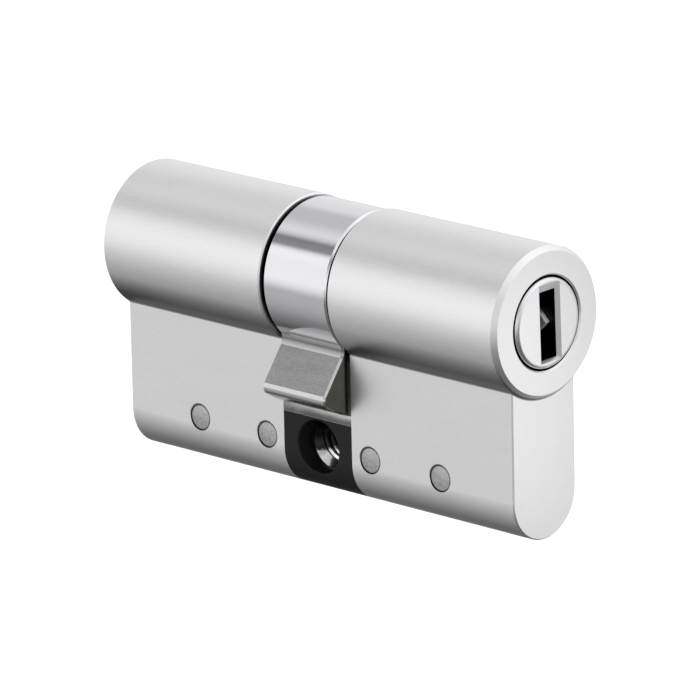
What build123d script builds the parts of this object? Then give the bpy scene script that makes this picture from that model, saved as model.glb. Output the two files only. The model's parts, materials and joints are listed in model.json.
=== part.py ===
"""Double profile cylinder for a deadbolt lock: two keyed halves, a cam between them and a bridge bar.

Millimetres. The origin is the centre of the fixing thread. +X runs along the plugs to the outside
face, +Z points from the fixing thread up to the plugs. The inside half is the outside half turned
half a turn about Z.
"""
import os
from math import cos, radians, sin

from build123d import *

# ---------------------------------------------------------------- standard section and lengths
OUTSIDE_LENGTH = 30.0        # fixing thread to the outside face
INSIDE_LENGTH = 30.0         # fixing thread to the inside face
HEAD_RADIUS = 8.5            # round head
WEB_WIDTH = 10.0             # web below the head
SECTION_HEIGHT = 33.0        # top of the head to the bottom of the web
PLUG_HEIGHT = 18.6           # fixing thread up to the plug axis
CAM_GAP = 10.4               # gap between the two halves
HEAD_STAND = 0.7             # head's face stands this far in front of the web's face
HEAD_EDGE = 0.55             # chamfer on the head's front edge
BODY_EDGE = 0.15             # small chamfer on the halves' other end edges

# ---------------------------------------------------------------- clearances
RUN_FIT = 0.05               # radial, for parts that turn or slide in a hole
PRESS_FIT = 0.02             # radial, for pressed pins and caps
END_FIT = 0.1                # along X, between faces that stay apart
NOSE_FIT = 0.18              # radial, round the plug's nose
OVERCUT = 1.0                # how far a cutting solid reaches past the surface it opens

# ---------------------------------------------------------------- plug
PLUG_RADIUS = 6.5            # main barrel
NOSE_STEP = 1.4              # front journal's radius is this much less
NOSE_LENGTH = 2.82           # shoulder to plug face
NOSE_EDGE = 0.6              # rounding of the plug face's rim
TAIL_STEP = 0.5              # rear journal's radius is this much less; it carries the cam
FACE_STAND = 0.22            # plug face stands this far in front of the head's face
MOUTH_EDGE = 0.2             # chamfer on the bore's rim at the head's face

# ---------------------------------------------------------------- keyway
KEYWAY_WIDTH = 2.5
KEYWAY_TOP = 3.58            # above the plug axis
KEYWAY_BOTTOM = 4.1          # below the plug axis
KEYWAY_OFFSET = 0.28         # its middle plane beside the plug axis, towards +Y
KEYWAY_LEAN = 1.4            # degrees about the plug axis
LEAD_SIDE = 0.42             # lead-in bevel at the keyway's sides, and its depth
LEAD_TOP = 0.95
LEAD_BOTTOM = 0.2
RIB_HEIGHT = 0.7             # profile rib on the keyway's +Y wall
RIB_WIDTH = 3.0
RIB_LEVEL = -0.33            # its middle, from the plug axis
RIB_START = 1.2              # its point, behind the plug face

# ---------------------------------------------------------------- pins
CHAMBERS = 5                 # in each half
REAR_WALL = 1.4              # barrel in front of the snap ring to the nearest chamber
FRONT_WALL = 1.9             # last chamber to the nose's shoulder
PIN_RADIUS = 1.45
TIP_RADIUS = 0.45
KEY_PIN_LENGTHS = (4.2, 3.4, 4.7, 3.8, 3.3)
SHEAR_GAP = 0.05             # key pin and driver pin each stay this far off the shear line
CHAMBER_SHOULDER = 1.2       # below the plug axis: where the plug's chambers start to narrow
DRIVER_LENGTH = 3.9
DRIVER_EDGE = 0.3
SPRING_WIRE = 0.36
SPRING_TURNS = 5
CAP_LENGTH = 1.2
CAP_EDGE = 0.1

# ---------------------------------------------------------------- snap ring
RING_WIDTH = 0.7
RING_DEPTH = 0.55            # groove depth in the bore
RING_CLEAR = 0.15            # round the rear journal
RING_INSET = 0.3             # groove behind the half's rear end
RING_OPENING = 3.0           # gap in the ring

# ---------------------------------------------------------------- bridge
BAR_WIDTH = 5.0
BAR_TOP = 2.55               # above the fixing thread's axis
BAR_PAST = 0.5               # reaches this far past the last chamber
SPACER_TOP = 3.4
SCREW_BORE = 2.1             # minor radius of the M5 thread
SCREW_SINK = 3.0             # radius of the thread's countersink
SCREW_MOUTH = 3.1            # radius of the spacer's mouth
MOUTH_RIM = 0.12             # chamfer on the mouth's rim
CROSS_PINS = (7.9, 18.4)     # along X, in each half
CROSS_PIN_LEVEL = 0.05
CROSS_PIN_RADIUS = 1.5
CROSS_PIN_SINK = 0.04        # ends below the web's sides
CROSS_PIN_DOME = 0.1
CROSS_HOLE_EDGE = 0.08

# ---------------------------------------------------------------- cam
CAM_INSET = 0.22             # ring below the head's surface
CAM_SIDE_GAP = 0.45
CAM_EDGE = 0.22              # chamfer round both faces, lobe included
LOBE_CLEAR = 0.25            # lobe over the spacer
LOBE_START = 7.5             # degrees from straight down, towards -Y, at the lobe's tip
LOBE_END = 37.7
LOBE_SPREAD = 1.8            # degrees that each flank spreads by, down to the ring
LOBE_TIP = 0.9               # rounding of the tip's corners
LOBE_ROOT = 1.2              # rounding where the flanks leave the ring
DISC_HALF = 1.0              # half the thickness of the cam's middle disc

# ---------------------------------------------------------------- clutch
SHAFT_RADIUS = 1.3
SHAFT_FLAT = 1.0             # axis to flat
DOG_LENGTH = 8.0
DOG_WIDTH = 3.4
DOG_THICK = 2.0
DOG_FIT = 0.1
CLUTCH_TRAVEL = 2.5
SLOT_PLATE = 2.2             # thickness of the plug's driven wall
CAVITY_RADIUS = 4.3          # where a dog turns free

# ---------------------------------------------------------------- worked-out places
BODY_END = CAM_GAP / 2
SECTION_BOTTOM = PLUG_HEIGHT + HEAD_RADIUS - SECTION_HEIGHT
WEB_HALF = WEB_WIDTH / 2
BORE_RADIUS = PLUG_RADIUS + RUN_FIT
NOSE_RADIUS = PLUG_RADIUS - NOSE_STEP
TAIL_RADIUS = PLUG_RADIUS - TAIL_STEP
CHAMBER_RADIUS = PIN_RADIUS + RUN_FIT
RING_X = BODY_END + RING_INSET
BARREL_REAR = RING_X + RING_WIDTH + END_FIT
TAIL_END = DISC_HALF + END_FIT * 2
CAVITY_START = TAIL_END + SLOT_PLATE
CAVITY_END = CAVITY_START + CLUTCH_TRAVEL
SHEAR_Z = PLUG_HEIGHT - PLUG_RADIUS
DRIVER_TOP = PLUG_HEIGHT - BORE_RADIUS - SHEAR_GAP
SPRING_TOP = DRIVER_TOP - DRIVER_LENGTH
SLOT_TOP = BAR_TOP + RUN_FIT
CAP_TOP = SLOT_TOP + CAP_LENGTH
SPRING_LENGTH = SPRING_TOP - CAP_TOP
CAM_HALF = BODY_END - CAM_SIDE_GAP
CAM_RADIUS = HEAD_RADIUS - CAM_INSET
LOBE_RADIUS = PLUG_HEIGHT - SPACER_TOP - LOBE_CLEAR


def plug_axis(x):
    """Plane across the plug axis at x: its X is the part's +Y, its Y is +Z."""
    return Plane(origin=(x, 0, PLUG_HEIGHT), x_dir=(0, 1, 0), z_dir=(1, 0, 0))


def disc(radius, x_from, x_to):
    """Round solid on the plug axis, with its surface's seam at the bottom."""
    return extrude(plug_axis(x_from) * Rot(0, 0, -90) * Circle(radius), x_to - x_from)


def upright(radius, x, z_from, z_to):
    """Round vertical solid in the middle plane."""
    return Pos(x, 0, z_from) * extrude(Circle(radius), z_to - z_from)


def across(radius, x, z, y_from, y_to):
    """Round solid along Y."""
    plane = Plane(origin=(x, y_from, z), x_dir=(1, 0, 0), z_dir=(0, 1, 0))
    return extrude(plane * Circle(radius), y_to - y_from)


def web_section(x, top, half_width):
    """Web outline across X: straight sides up to top, full round foot, as wide as half_width allows."""
    foot = Pos(0, SECTION_BOTTOM - PLUG_HEIGHT + WEB_HALF) * Circle(WEB_HALF)
    height = top - SECTION_BOTTOM - WEB_HALF
    sides = Pos(0, top - PLUG_HEIGHT - height / 2) * Rectangle(WEB_WIDTH, height)
    limit = Pos(0, top - PLUG_HEIGHT - SECTION_HEIGHT / 2) * Rectangle(half_width * 2, SECTION_HEIGHT)
    return plug_axis(x) * ((foot + sides) & limit)


def nose_shoulder(length):
    """Where the plug steps down to its nose, from the fixing thread."""
    return length + FACE_STAND - NOSE_LENGTH


def chamber_places(length):
    """Distances of the chambers from the fixing thread, evenly spread along the barrel."""
    first = BARREL_REAR + REAR_WALL + CHAMBER_RADIUS
    last = nose_shoulder(length) - FRONT_WALL - CHAMBER_RADIUS
    pitch = (last - first) / (CHAMBERS - 1)
    return [first + pitch * number for number in range(CHAMBERS)]


def bar_reach(length):
    """How far the bridge bar goes into a half, from the fixing thread."""
    return chamber_places(length)[-1] + CHAMBER_RADIUS + BAR_PAST


def turned(shape, inside):
    """The same piece in the inside half: half a turn about Z."""
    return Rot(0, 0, 180) * shape if inside else shape


def half_body(length):
    """One half: head and web in one piece, bored for the plug, the pins and the bridge bar."""
    web_end = length - HEAD_STAND
    web = extrude(web_section(BODY_END, PLUG_HEIGHT, WEB_HALF), web_end - BODY_END)
    web = chamfer(web.edges().group_by(Axis.X)[-1], BODY_EDGE)
    head = disc(HEAD_RADIUS, BODY_END, length)
    rims = head.edges().filter_by(GeomType.CIRCLE).sort_by(Axis.X)
    head = chamfer(rims[0], BODY_EDGE)
    head = chamfer(head.edges().filter_by(GeomType.CIRCLE).sort_by(Axis.X)[-1], HEAD_EDGE)
    shoulder = nose_shoulder(length) + RUN_FIT
    bore = disc(BORE_RADIUS, BODY_END, shoulder)
    bore += disc(NOSE_RADIUS + NOSE_FIT, shoulder, length)
    mouth = plug_axis(length - MOUTH_EDGE) * Circle(NOSE_RADIUS + NOSE_FIT)
    mouth_rim = plug_axis(length) * Circle(NOSE_RADIUS + NOSE_FIT + MOUTH_EDGE)
    bore += loft([mouth, mouth_rim])
    bore += disc(BORE_RADIUS + RING_DEPTH, RING_X, RING_X + RING_WIDTH)
    slot_end = bar_reach(length) + RUN_FIT
    slot = extrude(web_section(BODY_END, SLOT_TOP, BAR_WIDTH / 2 + RUN_FIT), slot_end - BODY_END)
    body = head + web - bore - slot
    for x in chamber_places(length):
        body -= upright(CHAMBER_RADIUS, x, SLOT_TOP - RUN_FIT, SHEAR_Z + OVERCUT)
    for x in CROSS_PINS:
        body -= across(CROSS_PIN_RADIUS + PRESS_FIT, x, CROSS_PIN_LEVEL, -WEB_HALF, WEB_HALF)
        for side in (-1, 1):
            body -= side_rim(x, CROSS_PIN_LEVEL, side, CROSS_PIN_RADIUS + PRESS_FIT, CROSS_HOLE_EDGE)
    return body


def side_rim(x, z, side, radius, edge):
    """Small countersink of a hole on one side of the web."""
    plane = Plane(origin=(x, side * WEB_HALF, z), x_dir=(1, 0, 0), z_dir=(0, -side, 0))
    return loft([plane * Circle(radius + edge), plane.offset(edge) * Circle(radius)])


def keyway_block(x_from, x_to, grow_side, grow_top, grow_bottom):
    """Solid of the keyway between two places, grown at its sides, top and bottom at its front end."""
    back = keyway_rectangle(x_from, 0, 0, 0)
    front = keyway_rectangle(x_to, grow_side, grow_top, grow_bottom)
    return loft([back, front])


def keyway_rectangle(x, grow_side, grow_top, grow_bottom):
    """Keyway's outline across X, leaning about the plug axis."""
    top = KEYWAY_TOP + grow_top
    bottom = -KEYWAY_BOTTOM - grow_bottom
    outline = Rectangle(KEYWAY_WIDTH + 2 * grow_side, top - bottom)
    return plug_axis(x) * Rot(0, 0, KEYWAY_LEAN) * Pos(KEYWAY_OFFSET, (top + bottom) / 2) * outline


def profile_rib(face):
    """Rib along the keyway's +Y wall, with a square-cornered point behind the plug face."""
    tip = face - RIB_START
    half = RIB_WIDTH / 2
    corners = [(tip, 0), (tip - half, half), (CAVITY_END, half), (CAVITY_END, -half), (tip - half, -half)]
    wall = KEYWAY_OFFSET + KEYWAY_WIDTH / 2
    plane = Plane(origin=(0, wall - RIB_HEIGHT, RIB_LEVEL), x_dir=(1, 0, 0), z_dir=(0, 1, 0))
    outline = plane * Polygon(*corners, align=None)
    rib = extrude(outline, RIB_HEIGHT * 2, dir=(0, 1, 0))
    return Pos(0, 0, PLUG_HEIGHT) * Rot(KEYWAY_LEAN, 0, 0) * rib


def pin_chamber(x):
    """Key pin's room in the plug: open at the barrel, ending in a cone like the pin's tip."""
    shoulder = PLUG_HEIGHT - CHAMBER_SHOULDER
    room = upright(CHAMBER_RADIUS, x, SHEAR_Z - OVERCUT, shoulder)
    cone_height = PIN_RADIUS - TIP_RADIUS
    cone = Pos(x, 0, shoulder + cone_height / 2) * Cone(CHAMBER_RADIUS, TIP_RADIUS + RUN_FIT, cone_height)
    return room + cone


def dog_slot(x_from, x_to):
    """Upright slot that a dog slides into."""
    slot = plug_axis(x_from) * Rectangle(DOG_WIDTH + 2 * DOG_FIT, DOG_LENGTH + 2 * DOG_FIT)
    return extrude(slot, x_to - x_from)


def plug(length):
    """Barrel with nose, tail, keyway, pin chambers, the dog's cavity and the slotted rear wall."""
    face = length + FACE_STAND
    shoulder = nose_shoulder(length)
    nose = disc(NOSE_RADIUS, shoulder, face)
    nose = fillet(nose.edges().filter_by(GeomType.CIRCLE).sort_by(Axis.X)[-1], NOSE_EDGE)
    barrel = disc(PLUG_RADIUS, BARREL_REAR, shoulder) + nose + disc(TAIL_RADIUS, TAIL_END, BARREL_REAR)
    barrel -= keyway_block(CAVITY_END, face, 0, 0, 0)
    barrel -= keyway_block(face - LEAD_SIDE, face, LEAD_SIDE, LEAD_TOP, LEAD_BOTTOM)
    barrel += profile_rib(face)
    barrel -= disc(CAVITY_RADIUS, CAVITY_START, CAVITY_END)
    barrel -= dog_slot(TAIL_END, CAVITY_START)
    for x in chamber_places(length):
        barrel -= pin_chamber(x)
    return barrel


def key_pin(x, length):
    """Pin with a cone at its top and a foot that follows the barrel's curve."""
    foot = SHEAR_Z + SHEAR_GAP
    cone_height = PIN_RADIUS - TIP_RADIUS
    stem = upright(PIN_RADIUS, x, foot - OVERCUT, foot + length - cone_height)
    tip = Pos(x, 0, foot + length - cone_height / 2) * Cone(PIN_RADIUS, TIP_RADIUS, cone_height)
    inside_barrel = disc(PLUG_RADIUS - SHEAR_GAP, x - PIN_RADIUS, x + PIN_RADIUS)
    return (stem + tip) & inside_barrel


def driver_pin(x):
    """Plain pin below the shear line, with both rims chamfered."""
    pin = upright(PIN_RADIUS, x, SPRING_TOP, DRIVER_TOP)
    return chamfer(pin.edges().filter_by(GeomType.CIRCLE), DRIVER_EDGE)


def pin_spring(x):
    """Round-wire spring between the cap and the driver pin."""
    turn_height = (SPRING_LENGTH - SPRING_WIRE) / SPRING_TURNS
    coil_radius = PIN_RADIUS - SPRING_WIRE / 2
    path = Helix(turn_height, turn_height * SPRING_TURNS, coil_radius)
    profile = Plane(origin=path @ 0, z_dir=path % 0) * Circle(SPRING_WIRE / 2)
    coil = sweep(profile, path=path)
    return Pos(x, 0, CAP_TOP + SPRING_WIRE / 2) * coil


def chamber_cap(x):
    """Pressed plug that closes a chamber under its spring."""
    cap = upright(CHAMBER_RADIUS - PRESS_FIT, x, CAP_TOP - CAP_LENGTH, CAP_TOP)
    return chamfer(cap.edges().filter_by(GeomType.CIRCLE), CAP_EDGE)


def snap_ring():
    """Open ring in the bore's groove, behind the barrel."""
    ring = disc(BORE_RADIUS + RING_DEPTH - PRESS_FIT, RING_X + PRESS_FIT, RING_X + RING_WIDTH - PRESS_FIT)
    ring -= disc(TAIL_RADIUS + RING_CLEAR, RING_X, RING_X + RING_WIDTH)
    opening = Box(RING_WIDTH * 2, RING_OPENING, HEAD_RADIUS)
    return ring - Pos(RING_X, 0, PLUG_HEIGHT + HEAD_RADIUS / 2) * opening


def bridge_bar():
    """Flat bar tapped for the fixing screw, with holes for the cross pins."""
    reach_inside = bar_reach(INSIDE_LENGTH)
    bar_length = reach_inside + bar_reach(OUTSIDE_LENGTH)
    bar = extrude(web_section(-reach_inside, BAR_TOP, BAR_WIDTH / 2), bar_length)
    bar -= across(SCREW_BORE, 0, 0, -BAR_WIDTH, BAR_WIDTH)
    sink = SCREW_SINK - SCREW_BORE
    for side in (-1, 1):
        face = Plane(origin=(0, side * BAR_WIDTH / 2, 0), x_dir=(1, 0, 0), z_dir=(0, -side, 0))
        bar -= loft([face * Circle(SCREW_SINK), face.offset(sink) * Circle(SCREW_BORE)])
    for x in CROSS_PINS:
        for side in (-1, 1):
            bar -= across(CROSS_PIN_RADIUS + PRESS_FIT, side * x, CROSS_PIN_LEVEL, -BAR_WIDTH, BAR_WIDTH)
    return bar


def spacer():
    """Block that fills the web between the halves and straddles the bar, with the screw's mouths."""
    block = extrude(web_section(-BODY_END, SPACER_TOP, WEB_HALF), CAM_GAP)
    block -= extrude(web_section(-BODY_END, BAR_TOP + RUN_FIT, BAR_WIDTH / 2 + RUN_FIT), CAM_GAP)
    for side in (-1, 1):
        block -= across(SCREW_MOUTH, 0, 0, side * BAR_WIDTH / 2, side * WEB_WIDTH)
        block -= side_rim(0, 0, side, SCREW_MOUTH, MOUTH_RIM)
    return block


def cross_pin(x):
    """Cross pin with domed ends, a little shorter than the web is wide."""
    reach = WEB_HALF - CROSS_PIN_SINK
    dome_radius = (CROSS_PIN_RADIUS ** 2 + CROSS_PIN_DOME ** 2) / (2 * CROSS_PIN_DOME)
    pin = across(CROSS_PIN_RADIUS, x, CROSS_PIN_LEVEL, -reach, reach)
    for side in (-1, 1):
        centre = Pos(x, side * (reach - dome_radius), CROSS_PIN_LEVEL)
        pin &= centre * Sphere(dome_radius) + across(
            CROSS_PIN_RADIUS, x, CROSS_PIN_LEVEL, -side * reach, side * (reach - CROSS_PIN_DOME))
    return pin


def polar(radius, angle):
    """Point across the plug axis, angle in degrees from straight down towards -Y."""
    return (-radius * sin(radians(angle)), -radius * cos(radians(angle)))


def from_axis(corner):
    """Distance of an outline's corner from the plug axis."""
    return Vector(corner.X, corner.Y, 0).length


def cam_outline():
    """Ring's circle joined to the lobe, with rounded tips and roots."""
    middle = (LOBE_START + LOBE_END) / 2
    root_radius = CAM_RADIUS - LOBE_ROOT
    near_tip, near_root = polar(LOBE_RADIUS, LOBE_END), polar(root_radius, LOBE_END + LOBE_SPREAD)
    far_tip, far_root = polar(LOBE_RADIUS, LOBE_START), polar(root_radius, LOBE_START - LOBE_SPREAD)
    flanks = Polyline(far_tip, far_root, (0, 0), near_root, near_tip)
    crown = ThreePointArc(near_tip, polar(LOBE_RADIUS, middle), far_tip)
    outline = Circle(CAM_RADIUS) + make_face(flanks.edges() + crown.edges())
    between = (CAM_RADIUS + LOBE_RADIUS) / 2
    tips = [corner for corner in outline.vertices() if from_axis(corner) > between]
    outline = fillet(tips, LOBE_TIP)
    lobe_way = Vector(*polar(1, middle), 0)
    near_lobe = [corner for corner in outline.vertices() if Vector(corner.X, corner.Y, 0).dot(lobe_way) > 0]
    roots = [corner for corner in near_lobe if from_axis(corner) < between]
    return fillet(roots, LOBE_ROOT)


def cam():
    """Ring with one driving lobe and a middle disc that the clutch shaft passes."""
    solid = extrude(plug_axis(-CAM_HALF) * cam_outline(), CAM_HALF * 2)
    rims = solid.edges().group_by(Axis.X)
    solid = chamfer(rims[0] + rims[-1], CAM_EDGE)
    bore_radius = TAIL_RADIUS + RUN_FIT
    solid -= disc(bore_radius, -CAM_HALF, -DISC_HALF)
    solid -= disc(bore_radius, DISC_HALF, CAM_HALF)
    return solid - shaft_section(-DISC_HALF, DISC_HALF, RUN_FIT)


def shaft_section(x_from, x_to, grow):
    """Round bar with two flats, grown by a clearance."""
    outline = Circle(SHAFT_RADIUS + grow) & Rectangle(2 * (SHAFT_FLAT + grow), 4 * SHAFT_RADIUS)
    return extrude(plug_axis(x_from) * outline, x_to - x_from)


def dog(x_from):
    """Flat dog pressed on the clutch shaft."""
    outline = plug_axis(x_from) * Rectangle(DOG_WIDTH, DOG_LENGTH)
    block = extrude(outline, DOG_THICK)
    block &= disc(DOG_LENGTH / 2, x_from, x_from + DOG_THICK)
    return block - shaft_section(x_from, x_from + DOG_THICK, 0)


def main():
    os.makedirs("parts", exist_ok=True)
    pieces = {}
    for side, length in (("outside", OUTSIDE_LENGTH), ("inside", INSIDE_LENGTH)):
        inside = side == "inside"
        pieces[f"body_{side}"] = turned(half_body(length), inside)
        pieces[f"plug_{side}"] = turned(plug(length), inside)
        pieces[f"snap_ring_{side}"] = turned(snap_ring(), inside)
        for number, (x, pin_length) in enumerate(zip(chamber_places(length), KEY_PIN_LENGTHS), start=1):
            pieces[f"key_pin_{side}_{number}"] = turned(key_pin(x, pin_length), inside)
            pieces[f"driver_pin_{side}_{number}"] = turned(driver_pin(x), inside)
            pieces[f"pin_spring_{side}_{number}"] = turned(pin_spring(x), inside)
            pieces[f"chamber_cap_{side}_{number}"] = turned(chamber_cap(x), inside)
        for number, x in enumerate(CROSS_PINS, start=1):
            pieces[f"cross_pin_{side}_{number}"] = turned(cross_pin(x), inside)
    pieces["bridge_bar"] = bridge_bar()
    pieces["spacer"] = spacer()
    pieces["cam"] = cam()
    dog_outside = TAIL_END + DOG_FIT
    dog_inside = dog_outside + CLUTCH_TRAVEL + DOG_THICK
    pieces["clutch_dog_outside"] = dog(dog_outside)
    pieces["clutch_dog_inside"] = dog(-dog_inside)
    pieces["clutch_shaft"] = shaft_section(-dog_inside, dog_outside + DOG_THICK, 0)
    for name, piece in pieces.items():
        export_step(piece, f"parts/{name}.step")


main()
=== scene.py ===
"""Looks of a double profile cylinder for a deadbolt lock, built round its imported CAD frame.

Metres; +X runs along the plugs to the outside face, +Z points from the fixing thread to the plugs.
"""

import json
from math import cos, radians, sin

import bmesh
import bpy
import numpy as np
from mathutils import Matrix, Vector


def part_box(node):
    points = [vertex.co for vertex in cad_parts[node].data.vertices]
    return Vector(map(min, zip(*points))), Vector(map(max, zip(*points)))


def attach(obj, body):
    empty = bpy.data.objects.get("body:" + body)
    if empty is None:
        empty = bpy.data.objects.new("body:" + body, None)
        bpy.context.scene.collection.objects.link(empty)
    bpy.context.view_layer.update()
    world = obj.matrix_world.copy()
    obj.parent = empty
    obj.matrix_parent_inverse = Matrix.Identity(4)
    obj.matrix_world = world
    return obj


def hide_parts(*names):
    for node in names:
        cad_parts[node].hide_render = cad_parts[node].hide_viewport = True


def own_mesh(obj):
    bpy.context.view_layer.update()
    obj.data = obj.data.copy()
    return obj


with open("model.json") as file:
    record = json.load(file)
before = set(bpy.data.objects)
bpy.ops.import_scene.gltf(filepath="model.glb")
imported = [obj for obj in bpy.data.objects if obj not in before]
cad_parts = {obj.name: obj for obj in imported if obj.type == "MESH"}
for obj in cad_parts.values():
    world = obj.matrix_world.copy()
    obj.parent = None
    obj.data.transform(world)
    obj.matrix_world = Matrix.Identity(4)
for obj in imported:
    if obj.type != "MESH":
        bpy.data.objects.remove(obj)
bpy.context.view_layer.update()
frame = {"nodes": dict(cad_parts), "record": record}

MM = 0.001
NODES = frame["nodes"]
JOINTS = {j["name"]: j for j in frame["record"]["behaviour"]["joints"]}
PLUG_HEIGHT = JOINTS["cam_turn"]["pos_m"][2]
PLUG_AXIS = (0, 0, PLUG_HEIGHT)
WEB_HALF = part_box("spacer")[1].y
BAR_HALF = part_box("bridge_bar")[1].y
BODY_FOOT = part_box("spacer")[0].z
SPACER_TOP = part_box("spacer")[1].z
BODY_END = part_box("body_outside")[0].x
PLUG_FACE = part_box("plug_outside")[1].x
CAM_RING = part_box("cam")[1].z - PLUG_HEIGHT
CAM_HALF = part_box("cam")[1].x
HEAD_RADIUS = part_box("body_outside")[1].z - PLUG_HEIGHT
NOSE_BORE = 5.28 * MM
CROSS_PIN_RADIUS = 1.5 * MM
CROSS_PINS = sorted({abs(round((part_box(n)[0].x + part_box(n)[1].x) / 2, 5))
                     for n in NODES if "cross_pin" in n})


# ---------------------------------------------------------------- shader node helpers

def new_group(name, inputs, outputs):
    """Empty shader node group with the given (name, kind, default) inputs and (name, kind) outputs."""
    group = bpy.data.node_groups.new(name, "ShaderNodeTree")
    for label, kind, default in inputs:
        socket = group.interface.new_socket(label, in_out="INPUT", socket_type=kind)
        socket.default_value = default
    for label, kind in outputs:
        group.interface.new_socket(label, in_out="OUTPUT", socket_type=kind)
    start = group.nodes.new("NodeGroupInput")
    end = group.nodes.new("NodeGroupOutput")
    return group, start.outputs, end.inputs


class Wires:
    """Adds nodes to a tree and joins them: a value given for a socket is either set or linked."""

    def __init__(self, tree):
        self.tree = tree

    def add(self, kind, settings=(), **values):
        """New node with the given settings; each value goes to the input socket of its name."""
        node = self.tree.nodes.new(kind)
        for key, value in dict(settings).items():
            setattr(node, key, value)
        for key, value in values.items():
            self.put(node.inputs[key.replace("_", " ")], value)
        return node

    def put(self, socket, value):
        """Links the value to the socket if it is a socket itself, and sets it otherwise."""
        if isinstance(value, bpy.types.NodeSocket):
            self.tree.links.new(value, socket)
        else:
            socket.default_value = value

    def math(self, operation, first, second=0.0, clamp=False):
        """Result of an operation on two values."""
        node = self.tree.nodes.new("ShaderNodeMath")
        node.operation = operation
        node.use_clamp = clamp
        self.put(node.inputs[0], first)
        self.put(node.inputs[1], second)
        return node.outputs[0]

    def mix(self, factor, first, second):
        """Colour between the first (factor 0) and the second (factor 1)."""
        node = self.tree.nodes.new("ShaderNodeMix")
        node.data_type = "RGBA"
        self.put(node.inputs[0], factor)
        self.put(node.inputs[6], first)
        self.put(node.inputs[7], second)
        return node.outputs[2]

    def ramp(self, factor, low, high, start=0.0, end=1.0):
        """Value from start to end while the factor goes from low to high, held beyond them."""
        node = self.tree.nodes.new("ShaderNodeMapRange")
        self.put(node.inputs["Value"], factor)
        self.put(node.inputs["From Min"], low)
        self.put(node.inputs["From Max"], high)
        self.put(node.inputs["To Min"], start)
        self.put(node.inputs["To Max"], end)
        return node.outputs["Result"]

    def noise(self, vector, scale, detail=2.0, roughness=0.5):
        """Noise between 0 and 1."""
        node = self.tree.nodes.new("ShaderNodeTexNoise")
        self.put(node.inputs["Vector"], vector)
        self.put(node.inputs["Scale"], scale)
        self.put(node.inputs["Detail"], detail)
        self.put(node.inputs["Roughness"], roughness)
        return node.outputs["Fac"]

    def length_from(self, vector, centre, keep):
        """Length of vector less centre, over the axes that keep leaves."""
        shift = self.tree.nodes.new("ShaderNodeVectorMath")
        shift.operation = "SUBTRACT"
        self.put(shift.inputs[0], vector)
        self.put(shift.inputs[1], centre)
        length = self.tree.nodes.new("ShaderNodeVectorMath")
        length.operation = "LENGTH"
        self.put(length.inputs[0], self.stretched(shift.outputs["Vector"], keep))
        return length.outputs["Value"]

    def stretched(self, vector, scale):
        """Vector times scale, axis by axis."""
        node = self.tree.nodes.new("ShaderNodeVectorMath")
        node.operation = "MULTIPLY"
        self.put(node.inputs[0], vector)
        self.put(node.inputs[1], scale)
        return node.outputs["Vector"]


COARSE_SIZE = 0.07
COARSE_SHARE = 0.3
EDGE_TURN = 0.12
WEAR_SIZE = 2600.0


def satin_grain_group():
    """Fine satin grain: two sizes of noise added up to a height round one half."""
    group, come, go = new_group(
        "satin_grain",
        [("Vector", "NodeSocketVector", (0, 0, 0)), ("Size", "NodeSocketFloat", 9000.0),
         ("Stretch", "NodeSocketVector", (1, 1, 1))],
        [("Height", "NodeSocketFloat")])
    wires = Wires(group)
    place = wires.stretched(come["Vector"], come["Stretch"])
    fine = wires.noise(place, come["Size"], 2.0, 0.6)
    coarse = wires.noise(place, wires.math("MULTIPLY", come["Size"], COARSE_SIZE), 3.0, 0.55)
    mixed = wires.math("ADD", wires.math("MULTIPLY", fine, 1 - COARSE_SHARE),
                       wires.math("MULTIPLY", coarse, COARSE_SHARE))
    wires.put(go["Height"], mixed)
    return group


def turned_marks_group():
    """Lathe marks: noise of the distance from a centre, over the axes that Keep leaves."""
    group, come, go = new_group(
        "turned_marks",
        [("Vector", "NodeSocketVector", (0, 0, 0)), ("Centre", "NodeSocketVector", (0, 0, 0)),
         ("Keep", "NodeSocketVector", (0, 1, 1)), ("Pitch", "NodeSocketFloat", 14000.0)],
        [("Height", "NodeSocketFloat")])
    wires = Wires(group)
    distance = wires.length_from(come["Vector"], come["Centre"], come["Keep"])
    ring = wires.add("ShaderNodeCombineXYZ", X=distance)
    wires.put(go["Height"], wires.noise(ring.outputs[0], come["Pitch"], 3.0, 0.7))
    return group


def axis_reach_group():
    """Distance from an axis along X."""
    group, come, go = new_group(
        "axis_reach",
        [("Vector", "NodeSocketVector", (0, 0, 0)), ("Centre", "NodeSocketVector", (0, 0, 0))],
        [("Distance", "NodeSocketFloat")])
    wires = Wires(group)
    wires.put(go["Distance"], wires.length_from(come["Vector"], come["Centre"], (0, 1, 1)))
    return group


def edge_wear_group():
    """Mask of worn edges: where a bevelled normal leaves the real one, broken up by noise."""
    group, come, go = new_group(
        "edge_wear",
        [("Vector", "NodeSocketVector", (0, 0, 0)), ("Radius", "NodeSocketFloat", 0.0002),
         ("Amount", "NodeSocketFloat", 1.0)],
        [("Mask", "NodeSocketFloat")])
    wires = Wires(group)
    bevel = wires.add("ShaderNodeBevel", {"samples": 4})
    wires.put(bevel.inputs["Radius"], come["Radius"])
    plain = wires.add("ShaderNodeNewGeometry")
    dot = wires.add("ShaderNodeVectorMath", {"operation": "DOT_PRODUCT"})
    wires.put(dot.inputs[0], bevel.outputs["Normal"])
    wires.put(dot.inputs[1], plain.outputs["Normal"])
    edge = wires.ramp(wires.math("SUBTRACT", 1.0, dot.outputs["Value"]), 0.0, EDGE_TURN)
    broken = wires.ramp(wires.noise(come["Vector"], WEAR_SIZE, 3.0, 0.6), 0.35, 0.6)
    worn = wires.math("MULTIPLY", wires.math("MULTIPLY", edge, broken), come["Amount"], clamp=True)
    wires.put(go["Mask"], worn)
    return group


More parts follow.
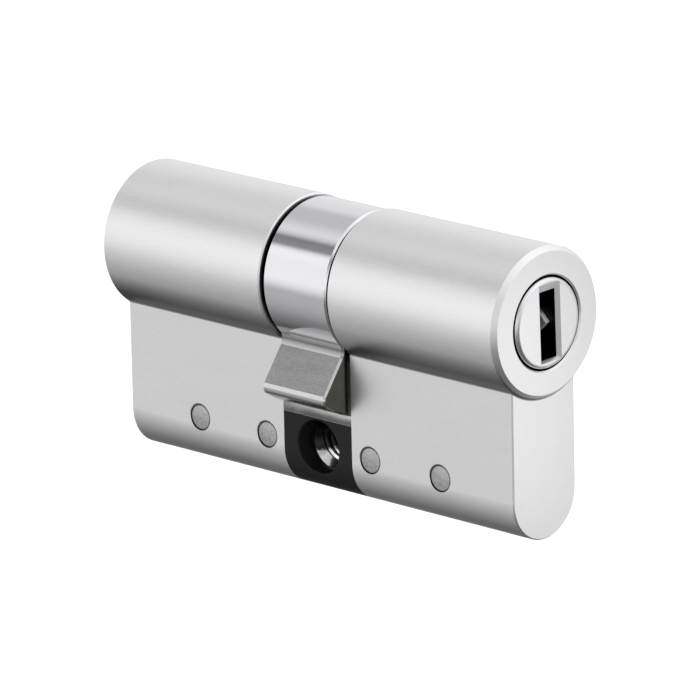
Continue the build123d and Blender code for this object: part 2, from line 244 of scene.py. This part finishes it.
def cross_pin_group():
    """Distance from the nearest cross pin's axis, which runs along Y level with the fixing thread."""
    group, come, go = new_group("cross_pin_reach", [("Vector", "NodeSocketVector", (0, 0, 0))],
                                [("Distance", "NodeSocketFloat")])
    wires = Wires(group)
    parts = wires.add("ShaderNodeSeparateXYZ", Vector=come["Vector"])
    along = wires.math("ABSOLUTE", parts.outputs["X"])
    gaps = [wires.math("ABSOLUTE", wires.math("SUBTRACT", along, place)) for place in CROSS_PINS]
    nearest = wires.math("MINIMUM", gaps[0], gaps[1])
    flat = wires.add("ShaderNodeCombineXYZ", X=nearest, Z=parts.outputs["Z"])
    length = wires.add("ShaderNodeVectorMath", {"operation": "LENGTH"})
    wires.put(length.inputs[0], flat.outputs[0])
    wires.put(go["Distance"], length.outputs["Value"])
    return group


GRAIN = satin_grain_group()
MARKS = turned_marks_group()
WEAR = edge_wear_group()
REACH = axis_reach_group()
PIN_REACH = cross_pin_group()


# ---------------------------------------------------------------- finishes

# Spans of noise that are used, the bump's height and the change at worn edges.
GRAIN_LOW, GRAIN_HIGH = 0.3, 0.7
BRUSH_LOW, BRUSH_HIGH = 0.35, 0.65
BUMP_STEP = 0.01 * MM
WORN_SMOOTHER = 0.06
EDGE_BRIGHTER = 1.12

# Painted shade in near black and in grey, and where it goes. SLIVER keeps a mask just off the face that it
# starts at;
# the SKIN and RIM values are shares of the head's and the cross pins' radii.
PAINTED_SHADE_BLACK = (0.02, 0.02, 0.021, 1)
PAINTED_SHADE_GREY = (0.25, 0.25, 0.25, 1)
SLIVER = 0.012 * MM
EDGE_FADE = 0.04 * MM
END_DARK = 0.12 * MM
# Angles of the painted shade under the heads.
UNDER_START, UNDER_END = radians(21), radians(40)
SKIN_IN, SKIN_FULL, SKIN_LEAVE, SKIN_OUT = 0.97, 0.99, 1.01, 1.02
# Painted shade round the cross pins' ends.
RIM_IN, RIM_FULL, RIM_STRENGTH = 0.86, 0.95, 0.9
# Painted shade in the upper part of the tapped hole: its level, fade and waver.
SHADE_LEVEL = -0.65 * MM
SHADE_FADE = 0.3 * MM
SHADE_WAVER = 1.2 * MM

# The plug's face: the depth of the keyway's bright lead-in, the nose's radius, and the keyway's rib.
LEAD_DEPTH = 0.42 * MM
NOSE_RADIUS = 5.02 * MM
RIB_HEIGHT = PLUG_HEIGHT - 0.33 * MM
RIB_HALF = 1.65 * MM
RIB_ROOT = 0.72 * MM
RIB_POINT = 1.45 * MM
RIB_FRONT = 2.0 * MM
# Painted light: the front of the keyway's rib is made pale so that it shows lit.
RIB_PAINTED_LIGHT = (0.97, 0.97, 0.97, 1)
FROST_ROUGHNESS = 0.75

# Cam and spacer block. The lobe's finish starts at these shares of the ring's radius.
LOBE_IN, LOBE_FULL = 1.01, 1.04
# Painted shade at the lobe's root beside the ring.
FOOT_SHADE = 0.45 * MM
# Inside the body's slot the lobe's side keeps bright metal, painted light against the shade there.
SLOT_FADE = 0.12 * MM
RING_SMOOTHEST, RING_ROUGHEST = 0.11, 0.16
LOBE_SMOOTHEST, LOBE_ROUGHEST = 0.2, 0.26
RING_DARK, RING_LIGHT = (0.69, 0.682, 0.705, 1), (0.75, 0.742, 0.765, 1)
LOBE_DARK, LOBE_LIGHT = (0.55, 0.55, 0.55, 1), (0.64, 0.64, 0.63, 1)
STAIN_DARK, STAIN_LIGHT = (0.10, 0.10, 0.088, 1), (0.17, 0.17, 0.15, 1)
LOBE_EDGE = (0.95, 0.95, 0.95, 1)
COAT_DARK, COAT_LIGHT = (0.004, 0.004, 0.0045, 1), (0.008, 0.008, 0.0085, 1)
COAT_WORN = (0.03, 0.03, 0.032, 1)
# Painted light: the block's top face is drawn as pale metal.
TOP_PAINTED_LIGHT = (0.7, 0.7, 0.7, 1)


def start_material(name):
    """New material with its shader, object coordinates and wiring helper."""
    material = bpy.data.materials.new(name)
    material.use_nodes = True
    tree = material.node_tree
    shader = tree.nodes["Principled BSDF"]
    wires = Wires(tree)
    place = wires.add("ShaderNodeTexCoord").outputs["Object"]
    return material, wires, shader, place


def group_node(wires, group, **values):
    """Outputs of a group put into the tree with the given input values."""
    node = wires.tree.nodes.new("ShaderNodeGroup")
    node.node_tree = group
    for key, value in values.items():
        wires.put(node.inputs[key], value)
    return node.outputs


def plug_reach(wires, place):
    """Distance from the plugs' axis."""
    return group_node(wires, REACH, Vector=place, Centre=PLUG_AXIS)["Distance"]


def grain_of(wires, place, size, stretch=(1, 1, 1)):
    """Height of satin grain of a size, stretched along the axes."""
    return group_node(wires, GRAIN, Vector=place, Size=size, Stretch=stretch)["Height"]


def graded(wires, height, low, high):
    """Value from low to high over the usual span of a grain's height."""
    return wires.ramp(height, GRAIN_LOW, GRAIN_HIGH, low, high)


def speckled(wires, height, low, high):
    """Colour from low to high over the usual span of a grain's height."""
    return wires.mix(wires.ramp(height, GRAIN_LOW, GRAIN_HIGH), low, high)


def bumped(wires, shader, height, strength):
    """Gives the shader a bump of the height."""
    bump = wires.add("ShaderNodeBump", Height=height, Strength=strength, Distance=BUMP_STEP)
    wires.put(shader.inputs["Normal"], bump.outputs["Normal"])


def inner_faces(wires, place):
    """Mask of a half's painted shade, in its bore, at its end by the cam and in its cross holes, where shade
    falls between parts.
    """
    reach = plug_reach(wires, place)
    bore = wires.ramp(reach, NOSE_BORE + SLIVER * 2, NOSE_BORE + SLIVER)
    along = wires.math("ABSOLUTE", wires.add("ShaderNodeSeparateXYZ", Vector=place).outputs["X"])
    end = wires.math("MULTIPLY", wires.ramp(along, BODY_END + SLIVER * 2, BODY_END + SLIVER),
                     wires.ramp(reach, CAM_RING + END_DARK, CAM_RING - END_DARK * 3))
    hole = wires.ramp(group_node(wires, PIN_REACH, Vector=place)["Distance"],
                      CROSS_PIN_RADIUS + SLIVER * 4, CROSS_PIN_RADIUS + SLIVER * 3)
    return wires.math("MAXIMUM", wires.math("MAXIMUM", bore, end), hole)


def under_head(wires, place):
    """Mask of the painted shade in the corner under a head beside the web, by the angle round the plugs'
    axis.
    """
    parts = wires.add("ShaderNodeSeparateXYZ", Vector=place)
    drop = wires.math("SUBTRACT", PLUG_HEIGHT, parts.outputs["Z"])
    angle = wires.math("ARCTAN2", drop, wires.math("ABSOLUTE", parts.outputs["Y"]))
    reach = plug_reach(wires, place)
    skin = wires.math("MULTIPLY", wires.ramp(reach, HEAD_RADIUS * SKIN_IN, HEAD_RADIUS * SKIN_FULL),
                      wires.ramp(reach, HEAD_RADIUS * SKIN_OUT, HEAD_RADIUS * SKIN_LEAVE))
    return wires.math("MULTIPLY", wires.ramp(angle, UNDER_START, UNDER_END), skin)


def keyway_depth(wires, parts):
    """Depth below the nearer plug's face."""
    return wires.math("SUBTRACT", PLUG_FACE, wires.math("ABSOLUTE", parts.outputs["X"]))


def keyway_rib(wires, place):
    """Mask of the front of the pointed rib on one side of a plug's keyway."""
    parts = wires.add("ShaderNodeSeparateXYZ", Vector=place)
    side = wires.math("MULTIPLY", parts.outputs["Y"], wires.math("SIGN", parts.outputs["X"]))
    height = wires.math("ABSOLUTE", wires.math("SUBTRACT", parts.outputs["Z"], RIB_HEIGHT))
    rib = wires.math("MULTIPLY", wires.ramp(side, RIB_ROOT, RIB_ROOT + EDGE_FADE),
                     wires.ramp(side, RIB_POINT + EDGE_FADE, RIB_POINT))
    rib = wires.math("MULTIPLY", rib, wires.ramp(height, RIB_HALF + EDGE_FADE, RIB_HALF))
    return wires.math("MULTIPLY", rib, wires.ramp(keyway_depth(wires, parts), RIB_FRONT * 1.5, RIB_FRONT))


def plug_depths(wires, place):
    """Mask of a plug's painted shade: its keyway past the lead-in, but for the rib, and its rim in the bore.
    """
    parts = wires.add("ShaderNodeSeparateXYZ", Vector=place)
    deep = wires.ramp(keyway_depth(wires, parts), LEAD_DEPTH, LEAD_DEPTH + EDGE_FADE)
    reach = plug_reach(wires, place)
    rim = wires.ramp(reach, NOSE_RADIUS, NOSE_RADIUS + EDGE_FADE)
    # Everywhere but the rib, where the deep keyway takes painted shade.
    painted_area = wires.math("SUBTRACT", 1.0, keyway_rib(wires, place))
    return wires.math("MAXIMUM", wires.math("MULTIPLY", deep, painted_area), rim)


def thread_top_shade(wires, place):
    """Mask of painted shade in the upper part of the tapped hole, where its mouth casts shade."""
    up = wires.add("ShaderNodeSeparateXYZ", Vector=place).outputs["Z"]
    uneven = wires.math("MULTIPLY", wires.noise(place, 2200.0, 3.0, 0.7), SHADE_WAVER)
    return wires.ramp(wires.math("ADD", up, uneven), SHADE_LEVEL - SHADE_FADE, SHADE_LEVEL)


def pin_rims(wires, place):
    """Mask of the painted shade in the gap round each cross pin's end."""
    reach = group_node(wires, PIN_REACH, Vector=place)["Distance"]
    return wires.ramp(reach, CROSS_PIN_RADIUS * RIM_IN, CROSS_PIN_RADIUS * RIM_FULL, 0.0, RIM_STRENGTH)


def metal(name, colour, roughness, grain_size=9000.0, depth=0.25, stretch=(1, 1, 1), spread=0.12,
          wear=0.4, rings=0.0, painted_dark=None, painted_dim=None, painted_light=None):
    """Metal with fine grain in colour, roughness and bump, and brighter worn edges.

    rings is the depth of its lathe marks; the last three give masks of painted light and shade: near-black
    painted shade, grey painted shade, and pale, rough places with painted light.
    """
    material, wires, shader, place = start_material(name)
    grain = grain_of(wires, place, grain_size, stretch)
    worn = group_node(wires, WEAR, Vector=place, Amount=wear)["Mask"]
    dark = tuple(c * (1 - spread * 0.5) for c in colour) + (1,)
    light = tuple(min(1, c * (1 + spread * 0.5)) for c in colour) + (1,)
    edge = tuple(min(1, c * EDGE_BRIGHTER) for c in colour) + (1,)
    base = wires.mix(worn, speckled(wires, grain, dark, light), edge)
    rough = graded(wires, grain, roughness * (1 - spread), roughness * (1 + spread))
    # Painted shade: grey under the heads, then near black in gaps and recesses.
    if painted_dim:
        base = wires.mix(painted_dim(wires, place), base, PAINTED_SHADE_GREY)
    if painted_dark:
        base = wires.mix(painted_dark(wires, place), base, PAINTED_SHADE_BLACK)
    # Painted light: a pale colour where the mask says, here the front of the keyway's rib.
    if painted_light:
        pale = painted_light(wires, place)
        base = wires.mix(pale, base, RIB_PAINTED_LIGHT)
        rough = wires.math("MAXIMUM", rough, wires.math("MULTIPLY", pale, FROST_ROUGHNESS))
    wires.put(shader.inputs["Base Color"], base)
    wires.put(shader.inputs["Roughness"],
              wires.math("SUBTRACT", rough, wires.math("MULTIPLY", worn, WORN_SMOOTHER)))
    shader.inputs["Metallic"].default_value = 1.0
    height = grain
    if rings:
        marks = group_node(wires, MARKS, Vector=place, Centre=PLUG_AXIS, Keep=(0, 1, 1))["Height"]
        height = wires.math("ADD", height, wires.math("MULTIPLY", marks, rings))
    bumped(wires, shader, height, depth)
    return material


def cam_finish(name):
    """Polished ring with fine lines round it, and a matt lobe with painted shade at its root; the lobe's
    sides are stained, but keep bright metal inside the body's slot as painted light.
    """
    material, wires, shader, place = start_material(name)
    grain = grain_of(wires, place, 8000.0)
    brush = grain_of(wires, place, 9000.0, (0.25, 1, 1))
    lines = group_node(wires, MARKS, Vector=place, Centre=PLUG_AXIS, Keep=(1, 0, 0), Pitch=9000.0)["Height"]
    worn = group_node(wires, WEAR, Vector=place, Amount=0.8)["Mask"]
    reach = plug_reach(wires, place)
    lobe = wires.ramp(reach, CAM_RING * LOBE_IN, CAM_RING * LOBE_FULL)
    lobe_tone = wires.mix(wires.ramp(brush, BRUSH_LOW, BRUSH_HIGH), LOBE_DARK, LOBE_LIGHT)
    ring_tone = speckled(wires, lines, RING_DARK, RING_LIGHT)
    base = wires.mix(worn, wires.mix(lobe, ring_tone, lobe_tone), LOBE_EDGE)
    # Painted shade at the lobe's root.
    root = wires.ramp(reach, CAM_RING + FOOT_SHADE * 2.7, CAM_RING + FOOT_SHADE)
    base = wires.mix(wires.math("MULTIPLY", lobe, root), base, PAINTED_SHADE_GREY)
    parts = wires.add("ShaderNodeSeparateXYZ", Vector=place)
    side = wires.ramp(wires.math("ABSOLUTE", parts.outputs["X"]), CAM_HALF - SLIVER * 2, CAM_HALF - SLIVER)
    # The stain stops at the body's slot; inside it the side keeps bright metal as painted light.
    clear_of_slot = wires.ramp(wires.math("ABSOLUTE", parts.outputs["Y"]), WEB_HALF, WEB_HALF + SLOT_FADE)
    stained = speckled(wires, grain, STAIN_DARK, STAIN_LIGHT)
    wires.put(shader.inputs["Base Color"], wires.mix(wires.math("MULTIPLY", side, clear_of_slot), base, stained))
    lobe_rough = wires.ramp(brush, BRUSH_LOW, BRUSH_HIGH, LOBE_SMOOTHEST, LOBE_ROUGHEST)
    ring_rough = graded(wires, lines, RING_SMOOTHEST, RING_ROUGHEST)
    rough = wires.math("ADD", wires.math("MULTIPLY", lobe, lobe_rough),
                       wires.math("MULTIPLY", wires.math("SUBTRACT", 1.0, lobe), ring_rough))
    wires.put(shader.inputs["Roughness"], rough)
    shader.inputs["Metallic"].default_value = 1.0
    grained = wires.math("MULTIPLY", grain, wires.ramp(lobe, 0, 1, 0.2, 1.0))
    bumped(wires, shader, wires.math("ADD", grained, wires.math("MULTIPLY", lines, 0.5)), 0.06)
    return material


def block_finish(name):
    """Black coated block with a faint grain; its top face is painted light, drawn as pale bare metal."""
    material, wires, shader, place = start_material(name)
    grain = grain_of(wires, place, 7000.0)
    worn = group_node(wires, WEAR, Vector=place, Amount=0.5)["Mask"]
    # Painted light: the top face is drawn as pale metal.
    painted_area = wires.ramp(wires.add("ShaderNodeSeparateXYZ", Vector=place).outputs["Z"],
                      SPACER_TOP - SLIVER * 2, SPACER_TOP - SLIVER)
    coat = wires.mix(worn, speckled(wires, grain, COAT_DARK, COAT_LIGHT), COAT_WORN)
    wires.put(shader.inputs["Base Color"], wires.mix(painted_area, coat, TOP_PAINTED_LIGHT))
    wires.put(shader.inputs["Roughness"], graded(wires, grain, 0.38, 0.5))
    wires.put(shader.inputs["Metallic"], painted_area)
    shader.inputs["Specular IOR Level"].default_value = 0.22
    bumped(wires, shader, grain, 0.3)
    return material


MATERIALS = {
    "nickel_satin": metal("nickel_satin", (0.82, 0.82, 0.82), 0.43, stretch=(0.12, 1, 1), spread=0.08,
                          painted_dark=inner_faces, painted_dim=under_head),
    "nickel_plug": metal("nickel_plug", (0.76, 0.76, 0.77), 0.34, rings=0.5, painted_dark=plug_depths,
                         painted_light=keyway_rib),
    "cam_steel": cam_finish("cam_steel"),
    "spacer_black": block_finish("spacer_black"),
    "bar_steel": metal("bar_steel", (0.85, 0.85, 0.85), 0.16, grain_size=4000.0, depth=0.5, spread=0.3,
                       painted_dark=thread_top_shade),
    "cross_pin_steel": metal("cross_pin_steel", (0.47, 0.47, 0.47), 0.33, grain_size=3500.0, depth=0.9,
                             spread=0.5, painted_dark=pin_rims),
    "pin_brass": metal("pin_brass", (0.80, 0.62, 0.32), 0.25),
    "spring_steel": metal("spring_steel", (0.60, 0.60, 0.61), 0.2),
    "clutch_steel": metal("clutch_steel", (0.60, 0.60, 0.61), 0.3),
}


def paint_nodes():
    """Gives every CAD node its slot's material."""
    for part in frame["record"]["subparts"]:
        materials = NODES[part["node"]].data.materials
        materials.clear()
        materials.append(MATERIALS[part["material_slot"]])


paint_nodes()


# ---------------------------------------------------------------- tapped thread

THREAD_PITCH = 0.8 * MM
THREAD_CREST = 2.1 * MM
THREAD_ROOT = 2.5 * MM
SINK_RADIUS = 3.0 * MM
ROOT_FLAT, CREST_FLAT = 0.125, 0.25
THREAD_AROUND, THREAD_ALONG = 120, 260
BORE_SIDES = 96
MERGE_GAP = 0.0001 * MM


def link_mesh(name, points, faces, material):
    """New smooth mesh object from point rows and face rows."""
    data = bpy.data.meshes.new(name)
    data.from_pydata(points.tolist(), [], faces.tolist())
    data.polygons.foreach_set("use_smooth", [True] * len(data.polygons))
    data.materials.append(material)
    piece = bpy.data.objects.new(name, data)
    bpy.context.scene.collection.objects.link(piece)
    return piece


def grid_faces(rows, columns):
    """Quads of a grid of rows by columns that closes on itself both ways."""
    row, column = np.meshgrid(np.arange(rows), np.arange(columns), indexing="ij")
    next_row, next_column = (row + 1) % rows, (column + 1) % columns
    corners = (row * columns + column, row * columns + next_column,
               next_row * columns + next_column, next_row * columns + column)
    return np.stack([c.ravel() for c in corners], axis=1)


def thread_sleeve():
    """Tapped thread in the bar, as a closed sleeve.

    At angle a round the bore and depth y along it, the inner radius is the larger of the countersink's
    cone, SINK_RADIUS less the depth below the bar's face, and the thread's profile. The profile is a
    triangle wave of y / pitch - a / turn, with flats at root and crest, between THREAD_ROOT and
    THREAD_CREST. Neither passes THREAD_ROOT, which is the sleeve's outer radius.
    """
    reach = BAR_HALF - (SINK_RADIUS - THREAD_ROOT)
    depth = np.linspace(-reach, reach, THREAD_ALONG)
    angle = np.linspace(0, 2 * np.pi, THREAD_AROUND, endpoint=False)
    y, a = np.meshgrid(depth, angle, indexing="ij")
    wave = np.abs(2 * np.mod(y / THREAD_PITCH - a / (2 * np.pi), 1.0) - 1)
    flank = np.clip((wave - ROOT_FLAT) / (1 - ROOT_FLAT - CREST_FLAT), 0, 1)
    profile = THREAD_ROOT - (THREAD_ROOT - THREAD_CREST) * flank
    cone = SINK_RADIUS - (BAR_HALF - np.abs(y))
    inner = np.minimum(np.maximum(profile, cone), THREAD_ROOT)
    radius = np.concatenate([inner, np.full_like(inner, THREAD_ROOT)[::-1]])
    y = np.concatenate([y, y[::-1]])
    a = np.concatenate([a, a[::-1]])
    points = np.stack([radius * np.cos(a), y, radius * np.sin(a)], axis=-1).reshape(-1, 3)
    faces = grid_faces(2 * THREAD_ALONG, THREAD_AROUND)
    return link_mesh("bar_thread", points, faces, MATERIALS["bar_steel"])


def merged_copy(node, name):
    """Copy of a CAD node with its loose triangles joined into one skin."""
    piece = bpy.data.objects.new(name, NODES[node].data.copy())
    bpy.context.scene.collection.objects.link(piece)
    skin = bmesh.new()
    skin.from_mesh(piece.data)
    bmesh.ops.remove_doubles(skin, verts=skin.verts, dist=MERGE_GAP)
    skin.to_mesh(piece.data)
    skin.free()
    return piece


def cut_round_hole(piece, radius, half_length):
    """Cuts a round hole along Y through the origin and applies it."""
    angle = np.linspace(0, 2 * np.pi, BORE_SIDES, endpoint=False)
    ring = np.stack([radius * np.cos(angle), np.zeros(BORE_SIDES), radius * np.sin(angle)], axis=1)
    points = np.concatenate([ring - [0, half_length, 0], ring + [0, half_length, 0]])
    first = np.arange(BORE_SIDES)
    second = (first + 1) % BORE_SIDES
    walls = np.stack([first, second, second + BORE_SIDES, first + BORE_SIDES], axis=1)
    data = bpy.data.meshes.new("bore_cutter")
    ends = [first.tolist(), (first[::-1] + BORE_SIDES).tolist()]
    data.from_pydata(points.tolist(), [], walls[:, ::-1].tolist() + ends)
    cutter = bpy.data.objects.new("bore_cutter", data)
    bpy.context.scene.collection.objects.link(cutter)
    cut = piece.modifiers.new("bore", "BOOLEAN")
    cut.operation, cut.solver, cut.object = "DIFFERENCE", "EXACT", cutter
    bpy.context.view_layer.update()
    result = bpy.data.meshes.new_from_object(piece.evaluated_get(bpy.context.evaluated_depsgraph_get()))
    piece.modifiers.clear()
    piece.data = result
    bpy.data.objects.remove(cutter)


def tapped_bar():
    """Bar with its plain bore opened to the thread's root, and the thread that fills the difference."""
    bar = merged_copy("bridge_bar", "tapped_bar")
    cut_round_hole(bar, THREAD_ROOT, BAR_HALF * 2)
    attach(bar, "housing")
    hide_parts("bridge_bar")
    thread = thread_sleeve()
    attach(thread, "housing")


tapped_bar()


# ---------------------------------------------------------------- pin springs


def coil_springs():
    """Copies of the pin springs, each with a mesh of its own, fixed to the housing."""
    for node in sorted(n for n in NODES if n.startswith("pin_spring")):
        place = node.removeprefix("pin_spring_")
        spring = merged_copy(node, f"coil_spring_{place}")
        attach(spring, "housing")
        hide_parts(node)
        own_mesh(spring)


coil_springs()


# ---------------------------------------------------------------- studio

def camera():
    """Long lens that looks from a little above, from the -Y side of the outside end, at the part's middle."""
    azimuth, elevation, roll = radians(44.01), radians(15.98), radians(-1.254)
    target = Vector((0.405, 0.0, 10.2)) * MM
    distance = 796.5 * MM
    back = Vector((sin(azimuth) * cos(elevation), -cos(azimuth) * cos(elevation), sin(elevation)))
    right = Vector((cos(azimuth), sin(azimuth), 0))
    up = back.cross(right)
    level_right = right * cos(roll) + up * sin(roll)
    level_up = up * cos(roll) - right * sin(roll)
    data = bpy.data.cameras.new("camera")
    data.sensor_width = 36.0
    data.lens = 370.0
    data.clip_start, data.clip_end = 0.05, 20.0
    eye = bpy.data.objects.new("camera", data)
    axes = Matrix((level_right, level_up, back)).transposed().to_4x4()
    eye.matrix_world = Matrix.Translation(target + back * distance) @ axes
    bpy.context.scene.collection.objects.link(eye)
    bpy.context.scene.camera = eye


PANEL_HALF = 12.0 * MM
PANEL_LEAN = -12.0 * MM
PANEL_AWAY = 50.0 * MM
PANEL_DROP = 13.5 * MM
PANEL_GLOW = 1.38
PANEL_FACING = Vector((0.668, 0.691, 0))
FLOOR_HALF = 3.0
FLOOR_DROP = 30.0 * MM
FLOOR_GLOW = 0.35


def stage_sheet(name, corners, glow, **sockets):
    """Glowing flat sheet that belongs to the studio; sockets sets the rest of its shader."""
    data = bpy.data.meshes.new(name)
    data.from_pydata([tuple(c) for c in corners], [], [(0, 1, 2, 3)])
    sheet = bpy.data.objects.new(name, data)
    bpy.context.scene.collection.objects.link(sheet)
    material = bpy.data.materials.new(name)
    material.use_nodes = True
    shader = material.node_tree.nodes["Principled BSDF"]
    shader.inputs["Emission Color"].default_value = (1, 1, 1, 1)
    shader.inputs["Emission Strength"].default_value = glow
    for key, value in sockets.items():
        shader.inputs[key.replace("_", " ")].default_value = value
    data.materials.append(material)
    return sheet


def studio_floor():
    """Plain pale floor well below the part."""
    level, half = BODY_FOOT - FLOOR_DROP, FLOOR_HALF
    corners = [(-half, -half, level), (half, -half, level), (half, half, level), (-half, half, level)]
    floor = stage_sheet("studio_floor", corners, FLOOR_GLOW, Base_Color=(0.9, 0.9, 0.9, 1), Roughness=0.8)
    floor.visible_glossy = False


def near_panel():
    """Soft upright panel close beyond the outside face, set so that it shows most in that face's -Y side."""
    across = Vector((-PANEL_FACING.y, PANEL_FACING.x, 0)) * PANEL_HALF
    middle = Vector((PLUG_FACE, PANEL_LEAN, 0)) + PANEL_FACING * PANEL_AWAY
    low, high = Vector((0, 0, BODY_FOOT - PANEL_DROP)), Vector((0, 0, PLUG_HEIGHT))
    corners = [middle - across + low, middle + across + low, middle + across + high, middle - across + high]
    panel = stage_sheet("near_panel", corners, PANEL_GLOW, Base_Color=(0, 0, 0, 1), Specular_IOR_Level=0.0)
    panel.visible_camera = False
    panel.visible_diffuse = False
    panel.visible_shadow = False


# Brightness of the room by direction round X: pairs of the degrees from straight up towards -Y and a value.
ROOM_BEHIND = ((-180, 0.10), (-160, 0.10), (-144, 0.14), (-138, 0.28), (-131, 0.42), (-114, 0.62),
               (-84, 0.96), (-42, 0.95), (-30, 0.68), (-6, 0.68), (16, 0.99), (24, 0.75), (30, 0.20),
               (36, 0.33), (42, 0.26), (48, 1.12), (54, 1.24), (66, 1.14), (96, 1.18), (104, 0.98),
               (113, 0.57), (126, 0.56), (140, 0.47), (150, 0.38), (158, 0.28), (168, 0.22), (180, 0.10))
ROOM_AHEAD = ((-180, 0.10), (-152, 0.26), (-140, 0.58), (-114, 0.57), (-90, 0.78), (-72, 1.08),
              (-48, 1.30), (-30, 1.35), (-18, 1.28), (0, 1.05), (18, 1.05), (34, 1.15), (42, 0.75),
              (49, 0.40), (55, 0.43), (62, 0.62), (78, 1.11), (84, 1.19), (90, 1.16), (98, 1.0),
              (114, 0.34), (122, 0.2), (132, 0.2), (150, 0.14), (180, 0.10))
ROOM_PEAK = 1.5
AHEAD_START, AHEAD_END = -0.35, 0.45


def room_ramp(wires, turn, table):
    """Colour ramp of a brightness table, over the angle's share of a full turn."""
    ramp = wires.tree.nodes.new("ShaderNodeValToRGB")
    wires.put(ramp.inputs["Fac"], turn)
    stops = ramp.color_ramp.elements
    for _ in table[2:]:
        stops.new(1.0)
    for stop, (degrees, value) in zip(list(stops), table):
        grey = value / ROOM_PEAK
        stop.position = (degrees + 180) / 360
        stop.color = (grey, grey, grey * 1.004, 1)
    return ramp.outputs["Color"]


def sky():
    """Soft studio round the part: long bright bands along X overhead and at the side, darker below.

    Each table gives the room's brightness by the angle round X, one for what lies towards -X and one for
    what lies towards +X, and the two blend over the direction's X. Seen straight, the room is white.
    """
    world = bpy.data.worlds.new("studio")
    bpy.context.scene.world = world
    world.use_nodes = True
    tree = world.node_tree
    wires = Wires(tree)
    background = tree.nodes["Background"]
    parts = wires.add("ShaderNodeSeparateXYZ", Vector=wires.add("ShaderNodeTexCoord").outputs["Generated"])
    side = wires.math("MULTIPLY", parts.outputs["Y"], -1.0)
    turn = wires.ramp(wires.math("ARCTAN2", side, parts.outputs["Z"]), -np.pi, np.pi)
    ahead = wires.add("ShaderNodeMapRange", {"interpolation_type": "SMOOTHSTEP"}, Value=parts.outputs["X"])
    ahead.inputs["From Min"].default_value = AHEAD_START
    ahead.inputs["From Max"].default_value = AHEAD_END
    room = wires.mix(ahead.outputs["Result"], room_ramp(wires, turn, ROOM_BEHIND),
                     room_ramp(wires, turn, ROOM_AHEAD))
    rays = wires.add("ShaderNodeLightPath")
    wires.put(background.inputs["Color"], wires.mix(rays.outputs["Is Camera Ray"], room, (1, 1, 1, 1)))
    background.inputs["Strength"].default_value = ROOM_PEAK


camera()
studio_floor()
near_panel()
sky()
bpy.context.scene.view_settings.view_transform = "Standard"
